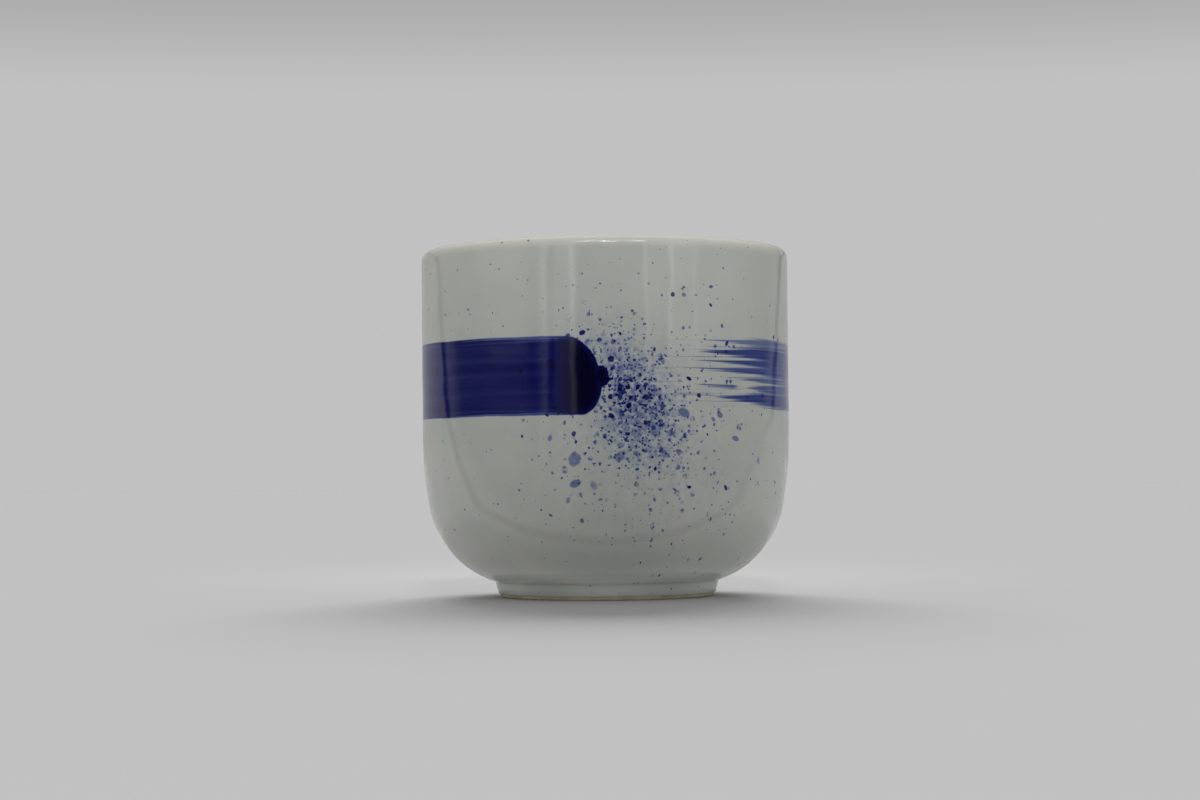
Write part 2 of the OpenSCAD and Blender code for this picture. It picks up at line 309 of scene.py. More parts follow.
class Finish:
    """One material, with the places on its piece in millimetres."""

    def __init__(self, name):
        self.material = bpy.data.materials.new(name)
        self.material.use_nodes = True
        self.tree = self.material.node_tree
        self.shader = self.tree.nodes["Principled BSDF"]
        place = self.node("ShaderNodeVectorMath", operation="SCALE")
        self.tree.links.new(self.node("ShaderNodeTexCoord").outputs["Object"], place.inputs[0])
        place.inputs["Scale"].default_value = IN_MM
        self.place = place.outputs[0]
        split = self.node("ShaderNodeSeparateXYZ")
        self.tree.links.new(self.place, split.inputs[0])
        self.x, self.y, self.z = (Number(self.tree, s) for s in split.outputs)

    def node(self, kind, **settings):
        """Adds a node with its settings."""
        made = self.tree.nodes.new(kind)
        for name, value in settings.items():
            setattr(made, name, value)
        return made

    def point(self, x, y, z=0.0):
        """A place made of three numbers."""
        joined = self.node("ShaderNodeCombineXYZ")
        for socket, value in zip(joined.inputs, (x, y, z)):
            feed(self.tree, socket, value)
        return joined.outputs[0]

    def noise(self, grain, place=None, detail=2.0):
        """Soft noise from 0 to 1, with a grain in millimetres."""
        made = self.node("ShaderNodeTexNoise", noise_dimensions="3D")
        feed(self.tree, made.inputs["Vector"], place or self.place)
        made.inputs["Scale"].default_value = 1 / grain
        made.inputs["Detail"].default_value = detail
        return Number(self.tree, made.outputs["Fac"])

    def dots(self, cell, place=None, flat=False):
        """Distance in millimetres to the middle of scattered cells, and two numbers for each."""
        made = self.node("ShaderNodeTexVoronoi", voronoi_dimensions="2D" if flat else "3D")
        feed(self.tree, made.inputs["Vector"], place or self.place)
        made.inputs["Scale"].default_value = 1 / cell
        random = self.node("ShaderNodeSeparateColor")
        self.tree.links.new(made.outputs["Color"], random.inputs[0])
        distance = Number(self.tree, made.outputs["Distance"]) * cell
        return distance, *(Number(self.tree, s) for s in random.outputs[:2])

    def mix(self, factor, first, second, kind="MIX"):
        """Colour from first to second."""
        return blend(self.tree, factor, first, second, kind)

    def scale(self, value, stops):
        """Colour on a scale of (place, colour) stops."""
        made = self.node("ShaderNodeValToRGB")
        feed(self.tree, made.inputs[0], value)
        points = made.color_ramp.elements
        while len(points) < len(stops):
            points.new(1)
        for point, (place, colour) in zip(points, stops):
            point.position = place
            point.color = (*colour, 1)
        return made.outputs[0]

    def emboss(self, height):
        """Gives the surface a fine relief, with its height in millimetres."""
        made = self.node("ShaderNodeBump")
        made.inputs["Distance"].default_value = MM
        feed(self.tree, made.inputs["Height"], height)
        self.tree.links.new(made.outputs[0], self.shader.inputs["Normal"])

    def set(self, **values):
        """Sets or links the shader's sockets, named with _ for a space."""
        for name, value in values.items():
            feed(self.tree, self.shader.inputs[name.replace("_", " ")], value)
        return self.material


def polar(radius, angle):
    """Point at a distance and an angle, as (radius, height)."""
    return Vector((radius * math.cos(angle), radius * math.sin(angle)))


def arc(centre, radius, start, end, steps):
    """Points along an arc, both ends included."""
    return [centre + polar(radius, start + (end - start) * i / steps) for i in range(steps + 1)]


def line(start, end, steps):
    """Points along a straight line, without its ends."""
    return [start.lerp(end, i / steps) for i in range(1, steps)]


class Lines:
    """The curves that the coats and the foot follow, as (radius, height) points."""

    LOW_STEPS = 28
    SIDE_STEPS = 12
    WALL_STEPS = 24
    LIP_STEPS = 16
    POOL_STEPS = 10
    BEAD_STEPS = 10

    def __init__(self, shape):
        self.shape = shape
        turned = polar(1, -shape.side_turn)
        lip_x = shape.radius - shape.lip_radius
        self.lip = Vector((lip_x, shape.height - shape.lip_radius))
        self.lip_in_radius = shape.wall - shape.lip_radius
        self.lip_in = Vector((lip_x, shape.height - self.lip_in_radius))
        belly = shape.curve_height + shape.low_radius
        belly -= (shape.side_radius - shape.low_radius) * turned.y
        self.side = Vector((shape.radius - shape.side_radius, belly))
        self.low = self.side + (shape.side_radius - shape.low_radius) * turned
        floor = shape.floor_height + shape.glaze
        join = self.side + (shape.side_radius - shape.wall) * turned
        self.in_low_radius = (join.y - floor) / (1 + turned.y)
        self.in_low = join - self.in_low_radius * turned
        self.coat = shape.glaze / math.cos(shape.foot_draft)
        pool_x = shape.foot_radius + shape.pool_radius
        reach = shape.low_radius + shape.pool_radius
        drop = math.sqrt(reach**2 - (pool_x - self.low.x) ** 2)
        self.pool = Vector((pool_x, self.low.y - drop))
        self.pool_turn = math.pi / 2 + math.asin((pool_x - self.low.x) / reach)
        self.slope = self.pool + polar(shape.pool_radius, math.pi - shape.foot_draft)
        self.ring_in = self.foot_out(0) - self.coat - shape.foot_width

    def foot_out(self, z):
        """Outside radius of the glazed foot at height z."""
        return self.slope.x - (self.slope.y - z) * math.tan(self.shape.foot_draft)

    def foot_in(self, z):
        """Inside radius of the bare foot ring at height z."""
        return self.ring_in - z * math.tan(self.shape.foot_draft)

    def under_turn(self, radius, depth):
        """Turn of the tight curve at a radius, at a depth below the glazed surface."""
        return -math.acos((radius - self.low.x) / (self.shape.low_radius - depth))

    def outside(self, depth, start):
        """Outside of the bowl at a depth below the glaze, up from the tight curve to the lip."""
        shape = self.shape
        side_end = self.side + polar(shape.side_radius - depth, 0)
        lip_start = self.lip + polar(shape.lip_radius - depth, 0)
        return [
            *arc(self.low, shape.low_radius - depth, start, -shape.side_turn, self.LOW_STEPS),
            *arc(self.side, shape.side_radius - depth, -shape.side_turn, 0, self.SIDE_STEPS)[1:],
            *line(side_end, lip_start, self.WALL_STEPS),
            *arc(self.lip, shape.lip_radius - depth, 0, math.pi / 2, self.LIP_STEPS),
        ]

    def inside(self, depth):
        """Inside of the bowl at a depth below the glaze, down from the lip to the axis."""
        shape = self.shape
        lip_radius = self.lip_in_radius - depth
        side_radius = shape.side_radius - shape.wall + depth
        lip_end = self.lip_in - Vector((lip_radius, 0))
        side_start = self.side + Vector((side_radius, 0))
        low_end = self.in_low - Vector((0, self.in_low_radius + depth))
        middle = Vector((0, low_end.y))
        return [
            *arc(self.lip_in, lip_radius, math.pi / 2, math.pi, self.LIP_STEPS),
            *line(lip_end, side_start, self.WALL_STEPS),
            *arc(self.side, side_radius, 0, -shape.side_turn, self.SIDE_STEPS),
            *arc(
                self.in_low,
                self.in_low_radius + depth,
                -shape.side_turn,
                -math.pi / 2,
                self.LOW_STEPS,
            )[1:],
            *line(low_end, middle, self.POOL_STEPS),
            middle,
        ]

    def outer_coat(self):
        """Closed outline of the outside coat, and how many of its points show."""
        shape = self.shape
        bead = shape.glaze / 2
        draft = shape.foot_draft
        z = shape.bare_height + bead
        centre = Vector((self.foot_out(z) - self.coat / 2, z))
        end = arc(centre, bead, math.pi - draft, 2 * math.pi - draft, self.BEAD_STEPS)
        ring_top = Vector((self.foot_out(shape.foot_height) - self.coat, shape.foot_height))
        shown = [
            *end,
            *line(end[-1], self.slope, self.POOL_STEPS),
            *arc(self.pool, shape.pool_radius, math.pi - draft, self.pool_turn, self.POOL_STEPS),
            *self.outside(0, self.pool_turn - math.pi)[1:],
        ]
        hidden = self.outside(shape.glaze, self.under_turn(ring_top.x, shape.glaze))
        return [*shown, *reversed(hidden), ring_top], len(shown)

    def inside_coat(self):
        """Outline of the inside coat, from the axis under the floor to the axis above it."""
        return [*reversed(self.inside(self.shape.glaze)), *self.inside(0)]

    def recess_coat(self):
        """Outline of the coat inside the foot, from the axis above it to the axis below it."""
        shape = self.shape
        bead = shape.glaze / 2
        draft = shape.foot_draft
        z = shape.bare_height + bead
        centre = Vector((self.foot_in(z) - self.coat / 2, z))
        ring_top = Vector((self.foot_in(shape.foot_height), shape.foot_height))
        pool_z = shape.base_height - shape.glaze - shape.pool_radius
        pool_x = self.foot_in(pool_z) - self.coat - shape.pool_radius / math.cos(draft)
        end = arc(centre, bead, draft, draft - math.pi, self.BEAD_STEPS)
        pool = arc(Vector((pool_x, pool_z)), shape.pool_radius, draft, math.pi / 2, self.POOL_STEPS)
        middle = Vector((0, pool[-1].y))
        return [
            Vector((0, shape.base_height)),
            Vector((ring_top.x, shape.base_height)),
            ring_top,
            *end,
            *line(end[-1], pool[0], self.POOL_STEPS),
            *pool,
            *line(pool[-1], middle, self.POOL_STEPS),
            middle,
        ]

    def foot(self):
        """Closed outline of the bare foot ring."""
        shape = self.shape
        draft = shape.foot_draft
        top = shape.foot_height
        lean = shape.foot_edge * (math.tan(draft) - 1 / math.cos(draft))
        outer = Vector((self.foot_out(0) - self.coat + lean, shape.foot_edge))
        inner = Vector((self.ring_in - lean, shape.foot_edge))
        rise = arc(outer, shape.foot_edge, -math.pi / 2, -draft, self.BEAD_STEPS)
        fall = arc(inner, shape.foot_edge, math.pi + draft, 1.5 * math.pi, self.BEAD_STEPS)
        outer_top = Vector((self.foot_out(top) - self.coat, top))
        inner_top = Vector((self.foot_in(top), top))
        return [
            *rise,
            *line(rise[-1], outer_top, self.POOL_STEPS),
            outer_top,
            inner_top,
            *line(inner_top, fall[0], self.POOL_STEPS),
            *fall,
            *line(fall[-1], rise[0], self.POOL_STEPS),
        ]


def turn_on_wheel(name, outline, segments):
    """Draws an outline behind the axis and spins it round."""
    upright = Matrix(((0, 0), (1, 0), (0, 1)))
    bpy.ops.object.select_all(action="DESELECT")
    bpy.ops.mesh.primitive_plane_add(size=MM)
    piece = bpy.context.object
    piece.name = piece.data.name = name
    bpy.ops.object.mode_set(mode="EDIT")
    bpy.ops.mesh.select_all(action="SELECT")
    bpy.ops.mesh.merge(type="CENTER")
    bpy.ops.transform.translate(value=upright @ outline[0])
    for last, point in zip(outline, outline[1:]):
        step = upright @ (point - last)
        bpy.ops.mesh.extrude_vertices_move(TRANSFORM_OT_translate={"value": step})
    bpy.ops.mesh.select_all(action="SELECT")
    bpy.ops.mesh.spin(steps=segments, angle=2 * math.pi, center=(0, 0, 0), axis=UP)
    bpy.ops.mesh.select_all(action="SELECT")
    bpy.ops.mesh.remove_doubles(threshold=MERGE_WITHIN)
    bpy.ops.mesh.normals_make_consistent(inside=False)
    bpy.ops.object.mode_set(mode="OBJECT")
    bpy.ops.object.shade_smooth_by_angle(angle=SHARP_TURN)
    return piece


def ripple(piece, shape, weight):
    """Lets the glaze sink in soft ripples, by the weight that each place has."""
    group = piece.vertex_groups.new(name="ripple")
    for vertex in piece.data.vertices:
        group.add([vertex.index], weight(vertex.co), "REPLACE")
    clouds = bpy.data.textures.new("glaze_ripple", "CLOUDS")
    clouds.noise_scale = shape.ripple_size
    clouds.noise_depth = 1
    bpy.ops.object.modifier_add(type="DISPLACE")
    sink = piece.modifiers[-1]
    sink.texture = clouds
    sink.texture_coords = "LOCAL"
    sink.mid_level = 1
    sink.strength = shape.ripple_depth
    sink.vertex_group = group.name
    bpy.ops.object.modifier_apply(modifier=sink.name)
    piece.vertex_groups.clear()


def smooth(low, high, value):
    """Smooth rise from 0 at low to 1 at high."""
    t = min(1, max(0, (value - low) / (high - low)))
    return t * t * (3 - 2 * t)


def unroll(piece, outline, shown):
    """Lays the wall out flat, with more room for the front and for what shows."""
    front_room = 2 / 3
    shown_room = 0.93
    tree = kdtree.KDTree(len(outline))
    for i, point in enumerate(outline):
        tree.insert(point.to_3d(), i)
    tree.balance()
    runs = [0]
    for last, point in zip(outline, [*outline[1:], outline[0]]):
        runs.append(runs[-1] + (point - last).length)
    edge = runs[shown - 1]
    heights = [
        shown_room * run / edge
        if run <= edge
        else shown_room + (1 - shown_room) * (run - edge) / (runs[-1] - edge)
        for run in runs
    ]

    def across(turned):
        """Place from 0 to 1 for a turn of -1 to 1 from the front."""
        side = min(abs(turned), 0.5) * front_room + max(abs(turned) - 0.5, 0) * (1 - front_room)
        return 0.5 + math.copysign(side, turned)

    mesh = piece.data
    layer = mesh.uv_layers.new(name="OFBake")
    for face in mesh.polygons:
        middle = math.atan2(face.center.x, -face.center.y) / math.pi
        corners = []
        for corner in face.loop_indices:
            place = mesh.vertices[mesh.loops[corner].vertex_index].co
            turned = math.atan2(place.x, -place.y) / math.pi
            if abs(turned - middle) > 1:
                turned += math.copysign(2, middle)
            index = tree.find((place.xy.length, place.z, 0))[1]
            corners.append((corner, across(turned), index))
        wraps = max(i for *_, i in corners) - min(i for *_, i in corners) > 1
        for corner, u, index in corners:
            v = heights[-1] if wraps and index == 0 else heights[index]
            layer.data[corner].uv = (u, v)


def dress(piece, material, slot, *nodes):
    """Gives a piece its finish, hangs it on the root and hides the solids it stands for."""
    piece.data.materials.clear()
    piece.data.materials.append(material)
    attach(piece, "root")
    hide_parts(*nodes)


def glaze_colour(finish, look, height, low, lip_depth):
    """Colour of the bare glaze: uneven, warm on the lip and lighter there as painted light, and green
    where it pools low down.

    The height of the cup, the height of the pool and the depth of the lip are in millimetres.
    """
    uneven = ramp(0.3, 0.7, finish.noise(11))
    colour = finish.mix(uneven, look.thin, look.thick)
    # Painted light on the lip: the band at the top takes the lighter, warm lip tint
    lip = ramp(height - lip_depth, height, finish.z + 0.5 * finish.noise(3))
    colour = finish.mix(lip * 0.9, colour, look.lip)
    return finish.mix(ramp(1.0, 0.2, abs(finish.z - low)) * 0.3, colour, look.pool)


def pinholes(finish):
    """Where the glaze has pinholes, from 0 to 1."""
    distance, size_of, present = finish.dots(5.5)
    return ramp(0.13, 0.06, distance + 0.06 * size_of) * (present < 0.15)


def glaze_finish(finish, look, colour, holes):
    """Glossy glaze over a colour, with pinholes and a skin like an orange's."""
    finish.emboss(0.0035 * finish.noise(1.6) - 0.05 * holes)
    return finish.set(
        Base_Color=finish.mix(holes * 0.75, colour, look.speck),
        Roughness=look.gloss + 0.05 * finish.noise(6) + 0.3 * holes,
    )


def drops(finish, along, z, held, cell, radii, power, seed):
    """Drops, one to a cell: 0 at the middle of a drop and 1 at its rim, and the drop's strength.

    Cells, places, radii and leans are as in the solids, and held gives the share of cells in use.
    """
    low, high = radii
    i = maths("FLOOR", along / cell)
    j = maths("FLOOR", z / cell)
    radius = low + (high - low) * chance(i, j, seed + 2) ** power
    play = cell - DROP_GAP - 2 * radius
    x = along - cell * (i + 0.5) - play * (chance(i, j, seed) - 0.5)
    y = z - cell * (j + 0.5) - play * (chance(i, j, seed + 1) - 0.5)
    lean = 2 * math.pi * chance(i, j, seed + 5)
    flat = 1 + DROP_STRETCH * chance(i, j, seed + 6)
    cosine, sine = maths("COSINE", lean), maths("SINE", lean)
    square = (x * cosine + y * sine) ** 2 + ((y * cosine - x * sine) * flat) ** 2
    ragged = 0.4 * (finish.noise(0.9, finish.point(along, z, seed), 1) - 0.4)
    present = chance(i, j, seed + 3) < held(cell * (i + 0.5), cell * (j + 0.5))
    strength = 0.26 + 0.42 * chance(i, j, seed + 4) + 0.28 * chance(i, j, seed + 2) ** 3
    return maths("SQRT", square) / radius + ragged, present * strength


def bell(along, z, middle, long, wide=None, lean=0.0):
    """Bell curve round a place on the wall, drawn out along a lean from the level."""
    x, y = along - middle[0], z - middle[1]
    cosine, sine = math.cos(lean), math.sin(lean)
    a = (x * cosine + y * sine) / long
    b = (y * cosine - x * sine) / (wide or long)
    return maths("EXPONENT", -0.5 * (a**2 + b**2))


def spatter(finish, stroke, along, z, tip):
    """Strength of the spatter: dark drops, pale wash and a mist of fine dots."""
    middle = (tip + stroke.spatter_along * IN_MM, stroke.spatter_height * IN_MM)
    spread = 14
    stray = (middle[0] + 0.29 * spread, middle[1] - 0.29 * spread)
    washed = (middle[0] - 0.35 * spread, middle[1] - 0.65 * spread)
    lean = math.radians(-60)

    def spatter_at(x, y):
        return 0.85 * bell(x, y, middle, 8, 4.5, lean) + 0.22 * bell(x, y, stray, spread)

    def wash_at(x, y):
        return 0.5 * bell(x, y, washed, 0.75 * spread, 0.7 * spread)

    # The drops that are solids too
    reach, strength = drops(finish, along, z, spatter_at, *DARK_DROPS)
    dark = ramp(1.1, 0.8, reach) * strength
    reach, strength = drops(finish, along, z, wash_at, *WASH_DROPS)
    mottle = 0.65 + 0.7 * finish.noise(0.7)
    wash = ramp(1.15, 0.75, reach) * mottle * (0.45 * strength + 0.04 * (strength > 0))

    # A thin veil and ragged blots among them
    core = bell(along, z, middle, 8.5, 4.6, lean)
    wide = bell(along, z, (middle[0] + 3, middle[1] - 6), 13)
    veil = (0.32 * core + 0.06 * wide) * (0.25 + 0.75 * ramp(0.35, 0.65, finish.noise(1.4)))
    blotted = 0.74 - 0.2 * bell(along, z, (middle[0] - 1, middle[1] + 0.5), 6, 3.4, lean)
    clumps = finish.noise(1.1, finish.point(along, z, 4), 2)
    blots = ramp(blotted, blotted + 0.04, clumps) * (0.3 + 0.6 * finish.noise(1.7))

    # The mist, which is denser and deeper near the middle
    layers = [dark, wash, veil, blots]
    near = core + 0.3 * wide + 0.006
    warp = finish.noise(0.7, detail=1)
    place = finish.point(along + 0.22 * warp, z - 0.22 * warp)
    for cell, most, pale, deep in MIST:
        distance, size_of, present = finish.dots(cell, place, flat=True)
        dot = ramp(1.25, 0.55, distance / (0.06 + most * size_of**2))
        tone = pale + (deep - pale) * ramp(0.3, 0.7, finish.noise(0.9, detail=0))
        layers.append(dot * (present < near) * tone * (0.65 + 0.35 * core))
    return over(*layers)


def dry_tracks(stroke, span, past, off, hairs):
    """Strength of the tracks of the drying brush, which fray and thin out."""
    width = stroke.width * IN_MM
    spent = maths("MAXIMUM", past / span, 0)
    sunk = 0.5 * ramp(0, 0.4, spent)
    risen = 2 * maths("MAXIMUM", spent - 0.5, 0)
    off = off + sunk - risen

    # Faint hairs and a veil between the tracks
    faint = 0.2 * ramp(0.55, 0.66, hairs) * ramp(1.35, 0.85, spent)
    veil = 0.6 * ramp(0.27, 0.72, hairs) * ramp(0.82, 0.55, spent)
    marks = maths("MAXIMUM", faint, veil) * (abs(off - 0.03 * width) < 0.43 * width)

    # The tracks, which swell halfway, taper to their ends and fray
    swell = 0.45 * ramp(0.95, 0.65, spent) * ramp(0.05, 0.4, spent)
    frayed = (hairs - 0.5) * (0.6 + 2.4 * spent**4) + swell
    soft = 0.45
    for middle, broad, start, end, strength in TRACKS:
        t = (spent - start) / (end - start)
        half = 0.5 * broad * width * (1 - maths("MAXIMUM", t, 0) ** 7)
        if start:
            half = half - ramp(0.3, 0, t)
        reach = half + frayed - abs(off - (middle - 0.5) * width)
        mark = ramp(-soft, soft, reach) * (strength - 0.26 + 0.45 * hairs)
        marks = maths("MAXIMUM", marks, mark)
    return marks * ramp(-8, 4, past)


def brush_stroke(finish, stroke, radius, along, z, tip):
    """Strength of the stroke: a pooled head, a streaky band and the tracks of a drying brush."""
    width = stroke.width * IN_MM
    head = stroke.head * IN_MM
    blob = stroke.blob * IN_MM
    ahead = 3
    wander = finish.noise(16, finish.point(along, 0), 1) - 0.5
    off = z - stroke.height * IN_MM + 0.5 * wander
    run = maths("WRAP", tip - along, 2 * math.pi * radius - ahead, -ahead)
    hairs = finish.noise(0.42, finish.point(run / 60, off, 3), 3)
    bristles = finish.noise(1.5, finish.point(run / 40, off, 7), 2)

    # The outline: a blunt head, and a blob of two lobes that has run out of its tip
    blunt = 2.2
    nose = maths("MAXIMUM", (head - run + 0.15 * off) / head, 0)
    outline = nose**blunt + (abs(off) / (0.52 * width)) ** blunt
    lumps = 0.8 * (finish.noise(0.5, finish.point(along, z, 8), 2) - 0.5)
    first = maths("SQRT", (along - tip) ** 2 + (off + blob / 3) ** 2) - blob
    second = maths("SQRT", (along - tip - 0.1) ** 2 + (off - 0.6) ** 2) - 0.85 * blob
    splash = maths("SMOOTH_MIN", first, second, 0.5) + lumps
    ragged = 0.4 * (finish.noise(1.2, finish.point(along, z, 1)) - 0.5)
    beyond = maths("SMOOTH_MIN", 3.4 * (outline - 1), splash, 0.4) + ragged
    edge = ramp(width / 2 + 0.1, width / 2 - 0.25, abs(off - 0.1) + 0.3 * ragged)
    shape = ramp(0.1, -0.17, beyond) * edge

    # The cobalt: deep where it has pooled, then paler and streaky, and thin along the margins
    head_turn = math.asin(stroke.head / (radius * MM))
    dry_run = radius * (head_turn + stroke.loaded)
    past = run - dry_run
    loaded = ramp(10, 0, past + 16 * (hairs - 0.5))
    pooled = ramp(11.5, 4, run)
    thick = 0.4 + 0.6 * ramp(0, -1.5, beyond)
    tired = ramp(20, dry_run, run)
    margin = ramp(width / 2 - 1.6, width / 2 - 0.3, abs(off))
    streaks = 0.16 * (bristles - 0.5) - 0.3 * margin * ramp(0.45, 0.62, hairs)
    strength = 0.76 + 0.24 * pooled * thick - 0.16 * tired + streaks * (1 - pooled)
    band = shape * loaded * strength

    tracks = dry_tracks(stroke, radius * stroke.drying, past, off, hairs)
    return maths("MAXIMUM", band, tracks)


def painted_glaze(shape, look, stroke):
    """Outside glaze with the cobalt fired into it."""
    finish = Finish("painted_glaze")
    radius = shape.radius * IN_MM
    along = radius * maths("ARCTAN2", finish.x, 0 - finish.y)
    tip = radius * stroke.tip
    crease, lip_depth = 3.0, 2.6
    stroked = brush_stroke(finish, stroke, radius, along, finish.z, tip)
    cobalt = over(stroked, spatter(finish, stroke, along, finish.z, tip))
    filtered = finish.scale(
        cobalt,
        [
            (0, WHITE),
            (0.25, stroke.wash),
            (0.5, stroke.dry),
            (0.78, stroke.band),
            (1, stroke.pooled),
        ],
    )
    holes = pinholes(finish) * (cobalt < 0.1)
    colour = glaze_colour(finish, look, shape.height * IN_MM, crease, lip_depth)
    colour = finish.mix(1.0, colour, filtered, "MULTIPLY")
    return glaze_finish(finish, look, colour, holes)


def plain_glaze(name, shape, look, low):
    """Glaze with no cobalt, which pools at a height in millimetres."""
    finish = Finish(name)
    lip_depth = 1.2
    colour = glaze_colour(finish, look, shape.height * IN_MM, low, lip_depth)
    return glaze_finish(finish, look, colour, pinholes(finish))


def bare_clay(look):
    """Unglazed clay of the foot: matt, toasted in patches, with dark grains."""
    finish = Finish("bare_clay")
    toasted = ramp(0.35, 0.7, finish.noise(5))
    distance, size_of, present = finish.dots(0.55)
    grain = ramp(0.13, 0.05, distance + 0.05 * size_of) * (present < 0.35)
    colour = finish.mix(toasted * 0.45, look.clay, look.soot)
    finish.emboss(0.02 * finish.noise(0.3) - 0.02 * grain)
    return finish.set(
        Base_Color=finish.mix(grain * 0.6, colour, look.soot),
        Roughness=0.72 + 0.15 * finish.noise(1.5),
    )


def hidden_clay(name, look, grain):
    """Clay that the glaze covers."""
    finish = Finish(name)
    finish.emboss(0.02 * finish.noise(grain))
    return finish.set(
        Base_Color=finish.mix(finish.noise(6) * 0.4, look.biscuit, look.clay),
        Roughness=0.8 + 0.1 * finish.noise(grain),
    )


class TEACUP_OT_outer_coat(bpy.types.Operator):
    """Turns the outside coat and paints the cobalt on it"""

    bl_idname = "teacup.outer_coat"
    bl_label = "Outside Glaze"

    def execute(self, context):
        shape = context.scene.teacup_shape
        outline, shown = Lines(shape).outer_coat()
        piece = turn_on_wheel("glazed_outside", [*outline, outline[0]], shape.segments)
        unroll(piece, outline, shown)
        lip = shape.height - shape.lip_radius
        belly = shape.curve_height + shape.low_radius
        hidden_radius = shape.radius - shape.glaze / 2
        rippled = 12 * MM

        def weight(place):
            if place.xy.length < hidden_radius and place.z > belly:
                return 0
            rise = smooth(shape.pool_radius, rippled, place.z)
            return rise * (1 - smooth(lip, shape.height, place.z))

        ripple(piece, shape, weight)
        material = painted_glaze(shape, context.scene.teacup_glaze, context.scene.teacup_stroke)
        painted = ("brush_band", "dry_brush_streaks", "spatter_drops", "wash_drops")
        dress(piece, material, "outer_glaze", "outer_glaze", *painted)
        return {"FINISHED"}


class TEACUP_OT_inside_coat(bpy.types.Operator):
    """Turns the inside coat, from the lip to the floor"""

    bl_idname = "teacup.inside_coat"
    bl_label = "Inside Glaze"

    def execute(self, context):
        shape = context.scene.teacup_shape
        piece = turn_on_wheel("glazed_inside", Lines(shape).inside_coat(), shape.segments)
        floor = (shape.floor_height + shape.glaze) * IN_MM
        material = plain_glaze("liner_glaze", shape, context.scene.teacup_glaze, floor)
        dress(piece, material, "liner_glaze", "liner_glaze")
        return {"FINISHED"}


class TEACUP_OT_recess_coat(bpy.types.Operator):
    """Turns the coat of the recess inside the foot"""

    bl_idname = "teacup.recess_coat"
    bl_label = "Recess Glaze"

    def execute(self, context):
        shape = context.scene.teacup_shape
        piece = turn_on_wheel("glazed_recess", Lines(shape).recess_coat(), shape.segments)
        material = plain_glaze("recess_glaze", shape, context.scene.teacup_glaze, 0)
        dress(piece, material, "outer_glaze", "base_glaze")
        return {"FINISHED"}


class TEACUP_OT_foot(bpy.types.Operator):
    """Turns the foot ring with its bare edge"""

    bl_idname = "teacup.foot"
    bl_label = "Foot Ring"

    def execute(self, context):
        shape = context.scene.teacup_shape
        outline = Lines(shape).foot()
        piece = turn_on_wheel("bare_foot_ring", [*outline, outline[0]], shape.segments)
        dress(piece, bare_clay(context.scene.teacup_glaze), "bare_porcelain", "foot_ring")
        return {"FINISHED"}


class TEACUP_OT_hidden_clay(bpy.types.Operator):
    """Finishes the clay that the glaze covers"""

    bl_idname = "teacup.hidden_clay"
    bl_label = "Covered Clay"

    def execute(self, context):
        look = context.scene.teacup_glaze
        for node, grain in (("cup_body", 0.4), ("luting_slip", 0.2)):
            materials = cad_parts[node].data.materials
            materials.clear()
            materials.append(hidden_clay(f"{node}_clay", look, grain))
        return {"FINISHED"}


# What the gloss shows of the room: degrees round from the front, and brightness
GLEAMS = (
    (-180, 0.2),
    (-85, 0.25),
    (-70, 0.42),
    (-50, 0.42),
    (-45.5, 0.05),
    (-42.5, 0.05),
    (-38.5, 0.95),
    (-36.4, 1.6),
    (-35.4, 1.6),
    (-34.6, 0.0),
    (-31, 0.0),
    (-30, 0.65),
    (-20.2, 0.65),
    (-19.5, 2.6),
    (-18.5, 2.6),
    (-17.9, 0.02),
    (23.8, 0.02),
    (24.4, 1.8),
    (25.4, 1.8),
    (26, 0.42),
    (38.6, 0.42),
    (39.4, 2.2),
    (40.6, 2.2),
    (41.4, 0.8),
    (54.6, 0.7),
    (55.4, 2.0),
    (56.4, 2.0),
    (57.2, 0.5),
    (80, 0.45),
    (100, 0.2),
    (180, 0.2),
)
BRIGHTEST_GLEAM = 4

# Spots: name, place, aim, power, width of the beam in degrees, and whether the gloss shows them
SPOTS = (
    ("upper_wall", (0.02, -0.45, 0.5), (0, 0, 0.1), 4.9, 15, True),
    ("side_wall", (-0.56, -0.2, 0.11), (0, 0, 0.085), 1.0, 14.3, False),
    ("side_wall", (0.56, -0.2, 0.11), (0, 0, 0.085), 1.0, 14.3, False),
)

# Panes that the lip mirrors: degrees round from the front, and width
PANES = ((-15, 0.14), (-1, 0.03), (26, 0.12))


def light(name, kind, place, aim, **settings):
    """A lamp that the camera doesn't see."""
    bpy.ops.object.light_add(type=kind, location=place)
    lamp = bpy.context.object
    lamp.name = lamp.data.name = name
    lamp.rotation_euler = (Vector(aim) - Vector(place)).to_track_quat("-Z", "Y").to_euler()
    for key, value in settings.items():
        setattr(lamp.data, key, value)
    lamp.visible_camera = False
    return lamp


def flat_lamp(name, place, aim, level, width, height):
    """A rectangle of even brightness."""
    power = level * math.pi * width * height
    return light(
        name, "AREA", place, aim, shape="RECTANGLE", size=width, size_y=height, energy=power
    )


def swung(degrees, place):
    """A place turned round the cup."""
    return Matrix.Rotation(math.radians(degrees), 3, "Z") @ Vector(place)


